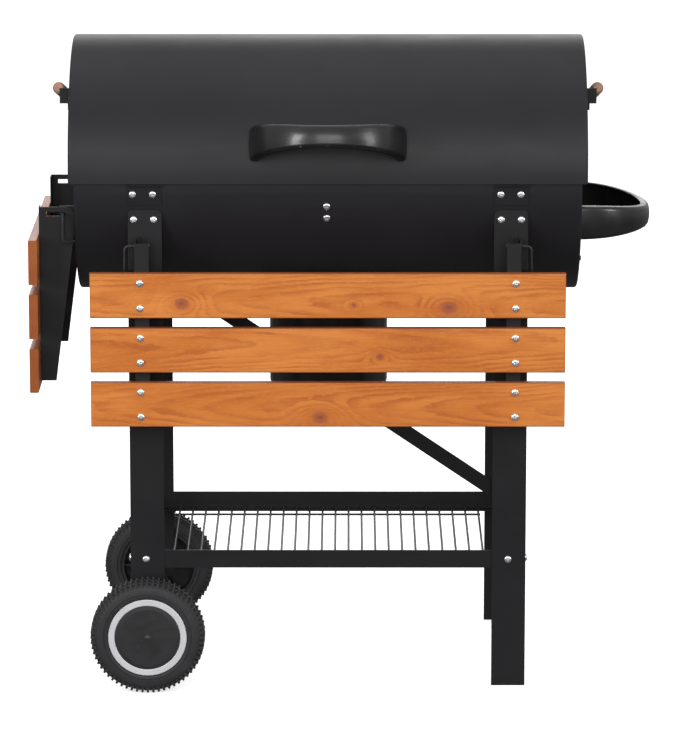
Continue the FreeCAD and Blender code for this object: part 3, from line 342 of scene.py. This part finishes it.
def moulded(name, dark, light, rough, grain, strength, coat=0.0):
    """Moulded plastic or rubber: fine texture, faint flow marks and a paler bloom."""
    graph = Graph(name)
    flow = graph.noise(
        scale=16.0, detail=5.0, rough=0.6, vector=graph.scaled((1.0, 1.0, 1.8)), distortion=0.8)
    colour = graph.blend(graph.remap(flow, 0.3, 0.72), dark, light)
    bloom = graph.remap(graph.noise(scale=120.0, rough=0.7), 0.56, 0.72, 0.0, 0.22)
    colour = graph.blend(bloom, colour, tuple(channel * 2.2 + 0.004 for channel in light))
    gloss = graph.remap(flow, 0.3, 0.7, rough - 0.05, rough + 0.07)
    fine = graph.noise(scale=grain, detail=2.0, rough=0.6)
    return graph.surface(
        Base_Color=colour, Roughness=gloss, Normal=graph.bump(fine, strength, 0.2 * MM),
        Coat_Weight=coat, Coat_Roughness=0.08)


def sprayed_silver(name):
    """Silver paint on plastic: metal flakes under a thin clear coat."""
    graph = Graph(name)
    flakes = graph.cells(1900.0)
    colour = graph.blend(graph.remap(flakes, 0.15, 0.75), (0.80, 0.79, 0.82), (0.64, 0.63, 0.66))
    cloud = graph.remap(graph.noise(scale=24.0), 0.35, 0.7, 0.0, 0.3)
    colour = graph.blend(cloud, colour, (0.66, 0.65, 0.69))
    gloss = graph.remap(graph.noise(scale=60.0), 0.3, 0.7, 0.42, 0.54)
    return graph.surface(
        Base_Color=colour, Metallic=0.35, Roughness=gloss, Normal=graph.bump(flakes, 0.06, 0.1 * MM),
        Coat_Weight=0.2, Coat_Roughness=0.3)


finishes = {
    "barrel_enamel": paint(
        "black_barrel_enamel", dark=(0.0125, 0.0118, 0.0138), light=(0.0160, 0.0152, 0.0176),
        rough=0.46, peel=0.07, grain=1100.0, sheen=0.24),
    "frame_paint": paint(
        "black_frame_paint", dark=(0.0085, 0.0078, 0.0092), light=(0.0120, 0.0112, 0.0128),
        rough=0.40, peel=0.10, grain=1300.0, coat=0.08),
    "wire_paint": paint(
        "black_wire_paint", dark=(0.020, 0.020, 0.022), light=(0.030, 0.030, 0.032),
        rough=0.38, peel=0.12, grain=1500.0),
    "bucket_enamel": paint(
        "black_bucket_enamel", dark=(0.008, 0.008, 0.0088), light=(0.0115, 0.011, 0.0125),
        rough=0.30, peel=0.08, grain=900.0, coat=0.2),
    "dowel": turned_dowel("stained_dowel"),
    "zinc": bright_metal(
        "bright_zinc", base=(0.95, 0.96, 0.98), shade=(0.80, 0.81, 0.84), rough=0.27),
    "grate_steel": bright_metal(
        "bright_grate_steel", base=(0.62, 0.62, 0.63), shade=(0.46, 0.45, 0.44), rough=0.28,
        tint=(0.40, 0.34, 0.28)),
    "handle_plastic": moulded(
        "moulded_handle_plastic", dark=(0.0042, 0.0040, 0.0050), light=(0.0065, 0.0062, 0.0075),
        rough=0.32, grain=700.0, strength=0.04, coat=0.12),
    "wheel_plastic": moulded(
        "moulded_wheel_plastic", dark=(0.0120, 0.0114, 0.0130), light=(0.0160, 0.0152, 0.0172),
        rough=0.50, grain=1500.0, strength=0.12),
    "tyre_rubber": moulded(
        "moulded_tyre_rubber", dark=(0.0145, 0.0138, 0.0155), light=(0.0215, 0.0205, 0.0230),
        rough=0.62, grain=1200.0, strength=0.24),
    "ring_silver": sprayed_silver("sprayed_ring_silver"),
}


def dress(piece, material):
    """Gives a piece one material."""
    piece.data.materials.clear()
    piece.data.materials.append(material)


for node_object in nodes.values():
    slot_name = node_object.data.materials[0].name
    if slot_name in finishes:
        dress(node_object, finishes[slot_name])

for slat_name, board in BOARDS.items():
    dress(nodes[slat_name], varnished_pine("pine_" + slat_name, slat_name, board))


# ---------------------------------------------------------------- mesh helpers

# the faces of a box, from four corners of its foot and then the four above them
BOX_FACES = ((3, 2, 1, 0), (4, 5, 6, 7), (0, 1, 5, 4), (1, 2, 6, 5), (2, 3, 7, 6), (3, 0, 4, 7))


def to_mesh(name, build):
    """Turns an open mesh into a finished one, and frees it."""
    mesh = bpy.data.meshes.new(name)
    build.to_mesh(mesh)
    build.free()
    return mesh


def join(build, part):
    """Adds an open mesh to another, and frees it."""
    mesh = to_mesh("part", part)
    build.from_mesh(mesh)
    bpy.data.meshes.remove(mesh)


def new_piece(name, build, body, slot, replaced, sharp_degrees):
    """A piece that rides on a body and stands for a CAD node; edges sharper than the angle stay sharp."""
    mesh = to_mesh(name, build)
    mesh.shade_smooth()
    mesh.set_sharp_from_angle(angle=math.radians(sharp_degrees))
    piece = bpy.data.objects.new(name, mesh)
    bpy.context.scene.collection.objects.link(piece)
    dress(piece, finishes[slot])
    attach(piece, body)
    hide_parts(replaced)


def lathe(build, profile, steps):
    """Turns (radius, height) points about Z into a closed skin; a zero radius closes an end."""
    turn = [2 * math.pi * step / steps for step in range(steps)]
    rings = []
    for radius, height in profile:
        places = [(radius * math.cos(angle), radius * math.sin(angle), height) for angle in turn]
        if radius == 0.0:
            places = [(0.0, 0.0, height)]
        rings.append([build.verts.new(place) for place in places])
    for lower, upper in zip(rings, rings[1:]):
        for step in range(steps):
            after = (step + 1) % steps
            corners = [lower[step % len(lower)], lower[after % len(lower)],
                       upper[after % len(upper)], upper[step % len(upper)]]
            build.faces.new(list(dict.fromkeys(corners)))


def box(build, corners):
    """A box between eight corners, the four of its foot first."""
    made = [build.verts.new(corner) for corner in corners]
    for face in BOX_FACES:
        build.faces.new([made[index] for index in face])


# ---------------------------------------------------------------- cross-head screws

HEAD_RADIUS = 5.7 * MM
HEAD_HEIGHT = 3.0 * MM
HEAD_RIM = 0.9 * MM
HEAD_DOME = 2.0 * MM
HEAD_FLAT_SHARE = 0.40
SHANK_RADIUS = 2.5 * MM
THREAD_PITCH = 0.8 * MM
THREAD_DEPTH = 0.35 * MM
THREAD_START = 0.4 * MM
THREAD_LEFT = 1.0 * MM
HEAD_STEPS = 40
SHANK_STEPS = 20
NUT_STEPS = 32


class RecessLevel(NamedTuple):
    """Half the length and width of the recess's slots at a height over the head's seat."""
    long: float
    thin: float
    height: float


RECESS_FLOOR = RecessLevel(1.7 * MM, 0.45 * MM, 0.9 * MM)
RECESS_MOUTH = RecessLevel(3.1 * MM, 0.75 * MM, 3.4 * MM)


def loose_parts(mesh):
    """The vertex positions of each separate solid of a mesh."""
    places = np.array([vertex.co for vertex in mesh.vertices])
    _, same = np.unique(np.round(places, 5), axis=0, return_inverse=True)
    same = same.ravel()
    leader = list(range(same.max() + 1))

    def root(item):
        while leader[item] != item:
            item = leader[item]
        return item

    for face in mesh.polygons:
        corners = [root(same[index]) for index in face.vertices]
        for corner in corners[1:]:
            leader[root(corner)] = root(corners[0])
    roots = np.array([root(item) for item in same])
    return [places[roots == item] for item in sorted(set(roots))]


def screw_line(points):
    """A screw's head end, its outward direction and its length, from the points of its CAD solid."""
    middle = (points.max(axis=0) + points.min(axis=0)) / 2
    spread, axes = np.linalg.eigh(np.cov((points - middle).T))
    axis = axes[:, 2] if abs(spread[2] - spread[1]) > abs(spread[1] - spread[0]) else axes[:, 0]
    arms = points - points.mean(axis=0)
    along = arms @ axis
    length = along.max() - along.min()
    reach = np.linalg.norm(arms - np.outer(along, axis), axis=1)
    wide = along[reach > (HEAD_RADIUS + SHANK_RADIUS) / 2]
    if abs(wide.mean() - along.min()) < abs(wide.mean() - along.max()):
        axis, along = -axis, -along
    foot = points[along < along.min() + 0.01 * MM].mean(axis=0)
    return Vector(foot + axis * length), Vector(axis), length


def head_mesh():
    """A domed pan head with a cross recess, its seat on Z = 0."""
    dome = [(0.0, 0.0), (HEAD_RADIUS, 0.0), (HEAD_RADIUS, HEAD_RIM)]
    for degrees in range(15, 91, 15):
        angle = math.radians(degrees)
        share = HEAD_FLAT_SHARE + (1 - HEAD_FLAT_SHARE) * math.cos(angle)
        dome.append((HEAD_RADIUS * share, HEAD_RIM + HEAD_DOME * math.sin(angle)))
    dome.append((0.0, HEAD_HEIGHT))
    solid = bmesh.new()
    lathe(solid, dome, HEAD_STEPS)
    bmesh.ops.recalc_face_normals(solid, faces=solid.faces)
    recess = bmesh.new()
    for turn in (0.0, math.pi / 2):
        corners = []
        for level in (RECESS_FLOOR, RECESS_MOUTH):
            for x, y in ((-1, -1), (1, -1), (1, 1), (-1, 1)):
                corner = Vector((x * level.long, y * level.thin, level.height))
                corners.append(Matrix.Rotation(turn, 4, "Z") @ corner)
        box(recess, corners)
    blank = bpy.data.objects.new("screw_blank", to_mesh("screw_head", solid))
    tool = bpy.data.objects.new("recess_tool", to_mesh("recess_tool", recess))
    for helper in (blank, tool):
        bpy.context.scene.collection.objects.link(helper)
    cutter = blank.modifiers.new("recess", "BOOLEAN")
    cutter.operation = "DIFFERENCE"
    cutter.solver = "EXACT"
    cutter.use_self = True
    cutter.object = tool
    scene_graph = bpy.context.evaluated_depsgraph_get()
    finished = bpy.data.meshes.new_from_object(blank.evaluated_get(scene_graph))
    for helper in (blank, tool):
        bpy.data.objects.remove(helper)
    return finished


def threaded_shank(build, reach):
    """A screw's threaded shank, hanging from Z = 0."""
    profile = [(0.0, 0.0), (SHANK_RADIUS, -THREAD_START / 2)]
    for groove in range(int((reach - THREAD_LEFT) / THREAD_PITCH)):
        height = -THREAD_START - groove * THREAD_PITCH
        profile += [(SHANK_RADIUS, height), (SHANK_RADIUS - THREAD_DEPTH, height - THREAD_PITCH * 0.5)]
    profile += [(SHANK_RADIUS * 0.85, -reach), (0.0, -reach)]
    lathe(build, profile, SHANK_STEPS)


def screw_set(name, node, body, turn_step):
    """Detailed screws in place of a node's plain ones, each turned a little differently."""
    build = bmesh.new()
    for index, points in enumerate(loose_parts(nodes[node].data)):
        tip, axis, length = screw_line(points)
        turn = Vector((0, 0, 1)).rotation_difference(axis).to_matrix().to_4x4()
        part = bmesh.new()
        if length > HEAD_HEIGHT * 1.2:
            part.from_mesh(screw_head)
            threaded_shank(part, length - HEAD_HEIGHT)
            turn = turn @ Matrix.Rotation(turn_step * (index + 1), 4, "Z")
            seat = tip - axis * HEAD_HEIGHT
        else:
            lathe(part, [(0.0, 0.0), (HEAD_RADIUS, 0.0), (HEAD_RADIUS, length), (0.0, length)], NUT_STEPS)
            seat = tip - axis * length
        bmesh.ops.recalc_face_normals(part, faces=part.faces)
        part.transform(Matrix.Translation(seat) @ turn)
        join(build, part)
    new_piece(name, build, body, "zinc", replaced=node, sharp_degrees=34)


screw_head = head_mesh()
screw_set("drum_cross_screws", "drum_screws", "cart", turn_step=0.7)
screw_set("frame_cross_bolts", "frame_bolts", "cart", turn_step=1.1)
screw_set("front_slat_cross_screws", "front_shelf_screws", "front_shelf", turn_step=0.9)
screw_set("side_slat_cross_screws", "side_shelf_screws", "side_shelf", turn_step=1.3)


# ---------------------------------------------------------------- knobby tyres

TYRE_STEPS = 192
KNOBS = 64
TYRE_BORE = 62.0 * MM
TREAD_DEPTH = 4.6 * MM
KNOB_ROOT = 4.2 * MM
KNOB_TAPER = 1.1 * MM
KNOB_BEVEL = 0.7 * MM


class KnobRow(NamedTuple):
    """A ring of knobs: its two edges counted from the tyre's side, its stagger, and each knob's width and
    how far its top lies under the tyre's full radius."""
    near: float
    far: float
    stagger: float
    wide: float
    drop: float


EDGE_ROW = KnobRow(0.9 * MM, 6.6 * MM, 0.0, 5.0 * MM, 0.3 * MM)
SHOULDER_ROW = KnobRow(7.4 * MM, 13.4 * MM, 0.5, 5.4 * MM, 2.1 * MM)
CENTRE_ROW = KnobRow(14.4 * MM, 14.4 * MM, 0.0, 5.0 * MM, 0.0)


def side_profile(half, tread):
    """The tyre's stepped side, from its bore to its tread, as (radius, height) points."""
    by_bore = ((0.0, 3.0), (1.0, 1.2), (3.0, 0.4), (5.2, 0.4), (5.9, 1.1), (6.8, 1.1), (7.6, 0.1),
               (13.0, 0.3), (17.5, 1.3))
    by_tread = ((2.4, 2.6), (0.6, 4.6), (0.0, 8.0))
    points = [(TYRE_BORE + rise * MM, -half + inset * MM) for rise, inset in by_bore]
    return points + [(tread - drop * MM, -half + inset * MM) for drop, inset in by_tread]


def knob(build, angle, start, end, row, tread, outer):
    """A tapered tread knob with bevelled edges, between two heights."""
    turn = Matrix.Rotation(angle, 4, "Z")
    foot = row.wide / 2
    top = foot - KNOB_TAPER
    top_radius = math.sqrt(outer ** 2 - top ** 2) - 0.1 * MM - row.drop
    layers = (
        (tread - KNOB_ROOT, foot, 0.0),
        (top_radius - KNOB_BEVEL, top + 0.25 * MM, 0.5 * MM),
        (top_radius, top - 0.5 * MM, 1.2 * MM))
    ring = []
    for radius, across, inset in layers:
        for side, height in ((-1, start + inset), (1, start + inset), (1, end - inset), (-1, end - inset)):
            ring.append(build.verts.new(turn @ Vector((radius, side * across, height))))
    for layer in (0, 4):
        for corner in range(4):
            after = (corner + 1) % 4
            quad = (layer + corner, layer + after, layer + 4 + after, layer + 4 + corner)
            build.faces.new([ring[index] for index in quad])
    build.faces.new(ring[8:])
    build.faces.new(ring[3::-1])


def tyre(name, node, body):
    """A solid tyre with a stepped side and staggered tread knobs, about the wheel's own axle."""
    low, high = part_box(node)
    outer = (high.z - low.z) / 2
    half = (high.y - low.y) / 2
    tread = outer - TREAD_DEPTH
    side = side_profile(half, tread)
    profile = side + [(radius, -height) for radius, height in reversed(side)]
    build = bmesh.new()
    lathe(build, profile + [profile[0]], TYRE_STEPS)
    spans = [(-half + row.near, -half + row.far, row) for row in (EDGE_ROW, SHOULDER_ROW)]
    spans.append((-half + CENTRE_ROW.near, half - CENTRE_ROW.far, CENTRE_ROW))
    spans += [(half - row.far, half - row.near, row) for row in (SHOULDER_ROW, EDGE_ROW)]
    for start, end, row in spans:
        for index in range(KNOBS):
            knob(build, 2 * math.pi * (index + row.stagger) / KNOBS, start, end, row, tread, outer)
    bmesh.ops.recalc_face_normals(build, faces=build.faces)
    build.transform(Matrix.Translation((low + high) / 2) @ Matrix.Rotation(math.pi / 2, 4, "X"))
    new_piece(name, build, body, "tyre_rubber", replaced=node, sharp_degrees=38)


tyre("front_knobby_tyre", "front_tyre", "front_wheel")
tyre("rear_knobby_tyre", "rear_tyre", "rear_wheel")


# ---------------------------------------------------------------- bow handles

BOW_RADIUS = 122 * MM
BOW_CENTRE = 5 * MM
BOW_DEPTH = 15 * MM
BOW_SKIN = 3 * MM
BOW_FOOT = 26.5 * MM
BOW_TOP_SAG = 13 * MM
BOW_LOW_SAG = 6 * MM
BOW_CORNER = 6.5 * MM
BOW_CROWN = 1.2 * MM
BOW_EASE = 0.8 * MM
BOW_STEPS = 96
BOSS_RADIUS = 8.2 * MM
BOSS_LENGTH = 15.0 * MM
BOSS_STEPS = 32


def bow_edge(across, sag):
    """Half height of the bow at a distance from its middle: narrow in the middle, full at the feet."""
    curve = (BOW_RADIUS ** 2 + sag ** 2) / (2 * sag)
    return BOW_FOOT - sag + curve - math.sqrt(curve ** 2 - across ** 2)


def corner_arc(height, radius, start, step, count):
    """Points round one corner of the bow's section, some degrees apart."""
    middle = BOW_RADIUS - BOW_CROWN - BOW_CORNER
    angles = [math.radians(start + step * index) for index in range(count)]
    return [(middle + radius * math.cos(angle), height + radius * math.sin(angle)) for angle in angles]


def bow_section(top, low):
    """The bow's closed channel section as (distance from the bow's centre, height) points, open inwards."""
    lip = BOW_RADIUS - BOW_DEPTH
    upper = top - BOW_CORNER
    lower = -low + BOW_CORNER
    section = [(lip + BOW_EASE, -low)]
    section += corner_arc(lower, BOW_CORNER, -90, 15, 7)
    for share in (step / 8 for step in range(1, 8)):
        crown = BOW_CROWN * (2 * share - 1) ** 2
        section.append((BOW_RADIUS - crown, lower + share * (upper - lower)))
    section += corner_arc(upper, BOW_CORNER, 0, 15, 7)
    section += [(lip + BOW_EASE, top), (lip, top - BOW_EASE), (lip, top - BOW_SKIN + BOW_EASE)]
    section.append((lip + BOW_EASE, top - BOW_SKIN))
    section += corner_arc(upper, BOW_CORNER - BOW_SKIN, 90, -22.5, 5)
    section += corner_arc(lower, BOW_CORNER - BOW_SKIN, 0, -22.5, 5)
    section.append((lip + BOW_EASE, -low + BOW_SKIN))
    section += [(lip, -low + BOW_SKIN - BOW_EASE), (lip, -low + BOW_EASE)]
    return section


def bow_rib(build, angle):
    """A thin rib inside the bow's channel."""
    across = BOW_RADIUS * math.cos(angle)
    top = bow_edge(across, BOW_TOP_SAG) - BOW_SKIN / 2
    low = bow_edge(across, BOW_LOW_SAG) - BOW_SKIN / 2
    near = BOW_RADIUS - BOW_DEPTH + 2 * MM
    far = BOW_RADIUS - BOW_SKIN + 0.5 * MM
    corners = []
    for height in (-low, top):
        for reach, offset in ((near, -MM), (far, -MM), (far, MM), (near, MM)):
            x = reach * math.cos(angle) - offset * math.sin(angle)
            y = BOW_CENTRE - reach * math.sin(angle) - offset * math.cos(angle)
            corners.append((x, y, height))
    box(build, corners)


def bow_boss(build, side):
    """A screw boss in one foot of the bow."""
    boss = bmesh.new()
    profile = [
        (0.0, 0.3 * MM), (BOSS_RADIUS - 0.4 * MM, 0.3 * MM), (BOSS_RADIUS, 1.0 * MM),
        (BOSS_RADIUS, BOSS_LENGTH - 0.8 * MM), (BOSS_RADIUS - 0.8 * MM, BOSS_LENGTH), (0.0, BOSS_LENGTH)]
    lathe(boss, profile, BOSS_STEPS)
    column = side * (BOW_RADIUS - BOW_DEPTH / 2 - 2 * MM)
    boss.transform(Matrix.Translation((column, 0.0, 0.0)) @ Matrix.Rotation(math.pi / 2, 4, "X"))
    join(build, boss)


def bow_handle(name, node, body, spot, wall_radius):
    """A moulded bow handle with rounded edges, ribs and screw bosses; its feet end on the barrel."""
    def wall(height):
        """How far the barrel's surface falls away at a height from the handle's middle plane."""
        return wall_radius - math.sqrt(wall_radius ** 2 - height ** 2) if wall_radius else 0.0

    build = bmesh.new()
    rings = []
    for step in range(BOW_STEPS + 1):
        across = BOW_RADIUS * math.cos(math.pi * step / BOW_STEPS)
        ring = []
        for reach, height in bow_section(bow_edge(across, BOW_TOP_SAG), bow_edge(across, BOW_LOW_SAG)):
            first = math.asin((BOW_CENTRE - wall(height)) / reach)
            angle = first + (math.pi - 2 * first) * step / BOW_STEPS
            spread, out = reach * math.cos(angle), reach * math.sin(angle)
            ring.append(build.verts.new((spread, BOW_CENTRE - out, height)))
        rings.append(ring)
    count = len(rings[0])
    for before, after in zip(rings, rings[1:]):
        for corner in range(count):
            beyond = (corner + 1) % count
            build.faces.new([before[corner], before[beyond], after[beyond], after[corner]])
    build.faces.new(rings[0])
    build.faces.new(list(reversed(rings[-1])))
    for degrees in range(30, 151, 20):
        bow_rib(build, math.radians(degrees))
    for side in (-1, 1):
        bow_boss(build, side)
    bmesh.ops.recalc_face_normals(build, faces=build.faces)
    build.transform(spot)
    new_piece(name, build, body, "handle_plastic", replaced=node, sharp_degrees=50)


LID_RADIUS = 203 * MM
LID_HANDLE_LEAN = math.radians(-17.5)
SIDE_HANDLE_HEIGHT = 727.5 * MM

lid_low, lid_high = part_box("lid_wrap")
lid_axis = Vector(((lid_low.x + lid_high.x) / 2, (lid_low.y + lid_high.y) / 2, lid_high.z - LID_RADIUS))
lid_lean = Matrix.Rotation(LID_HANDLE_LEAN, 4, "X")
lid_spot = Matrix.Translation(lid_axis) @ lid_lean @ Matrix.Translation((0.0, -LID_RADIUS, 0.0))
bow_handle("lid_bow_handle", "lid_handle", "lid", lid_spot, wall_radius=LID_RADIUS)

drum_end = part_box("drum_right_cap")[1].x
side_turn = Matrix.Rotation(math.pi / 2, 4, "Z")
side_spot = Matrix.Translation((drum_end, lid_axis.y, SIDE_HANDLE_HEIGHT)) @ side_turn
bow_handle("side_bow_handle", "side_handle", "cart", side_spot, wall_radius=None)


# ---------------------------------------------------------------- floor, light and camera

WHITE = (1.0, 1.0, 1.0, 1.0)
FLOOR_HALF = 60.0


def floor():
    """A wide pale floor with a faint mottle.  It glows a little, and its bounce is left to the world."""
    build = bmesh.new()
    bmesh.ops.create_grid(build, x_segments=8, y_segments=8, size=FLOOR_HALF)
    plane = bpy.data.objects.new("floor", to_mesh("floor", build))
    bpy.context.scene.collection.objects.link(plane)
    graph = Graph("pale_floor")
    mottle = graph.remap(graph.noise(scale=3.0), 0.3, 0.7)
    colour = graph.blend(mottle, (0.88, 0.88, 0.88), (0.90, 0.90, 0.90))
    dress(plane, graph.surface(
        Base_Color=colour, Roughness=0.9, Emission_Color=WHITE, Emission_Strength=0.55))
    plane.visible_diffuse = False
    plane.visible_glossy = False


def soft_light(name, spot, target, size, power):
    """A rectangular area light that faces a point."""
    data = bpy.data.lights.new(name, "AREA")
    data.shape = "RECTANGLE"
    data.size, data.size_y = size
    data.energy = power
    lamp = bpy.data.objects.new(name, data)
    lamp.location = spot
    lamp.rotation_euler = (Vector(target) - Vector(spot)).to_track_quat("-Z", "Y").to_euler()
    bpy.context.scene.collection.objects.link(lamp)


def studio_world():
    """A soft white room, dimmer below the floor's level."""
    world = bpy.data.worlds.new("studio")
    world.use_nodes = True
    tree = world.node_tree
    room = tree.nodes["Background"]
    room.inputs["Color"].default_value = WHITE
    split = tree.nodes.new("ShaderNodeSeparateXYZ")
    tree.links.new(tree.nodes.new("ShaderNodeTexCoord").outputs["Generated"], split.inputs[0])
    level = tree.nodes.new("ShaderNodeMapRange")
    level.interpolation_type = "SMOOTHSTEP"
    for socket, value in zip(("From Min", "From Max", "To Min", "To Max"), (-0.25, 0.10, 0.16, 0.62)):
        level.inputs[socket].default_value = value
    tree.links.new(split.outputs["Z"], level.inputs["Value"])
    tree.links.new(level.outputs[0], room.inputs["Strength"])
    bpy.context.scene.world = world
    bpy.context.scene.view_settings.view_transform = "Standard"


def camera(spot, dip, roll, lens):
    """A camera that looks to the back, turned down by `dip` and sideways by `roll`, in radians."""
    data = bpy.data.cameras.new("camera")
    data.lens = lens
    data.sensor_width = 36.0
    seer = bpy.data.objects.new("camera", data)
    seer.location = spot
    seer.rotation_euler = (math.pi / 2 - dip, 0.0, roll)
    bpy.context.scene.collection.objects.link(seer)
    bpy.context.scene.camera = seer


floor()
drum_height = (0.0, 0.0, 0.7)
shelf_height = (0.0, 0.0, 0.6)
soft_light("overhead_softbox", (0.0, 0.1, 3.2), shelf_height, size=(3.2, 2.4), power=18.0)
soft_light("front_softbox", (0.2, -5.6, 2.5), shelf_height, size=(3.6, 2.2), power=120.0)
soft_light("left_softbox", (-2.6, -2.6, 1.7), drum_height, size=(0.8, 1.5), power=52.0)
soft_light("right_softbox", (3.2, -1.7, 1.7), drum_height, size=(0.9, 1.5), power=34.0)
soft_light("back_softbox", (0.0, 4.0, 2.2), drum_height, size=(3.2, 1.6), power=36.0)
studio_world()
camera(spot=(0.00815, -6.9648, 1.9850), dip=0.2135, roll=0.0009, lens=217.7)
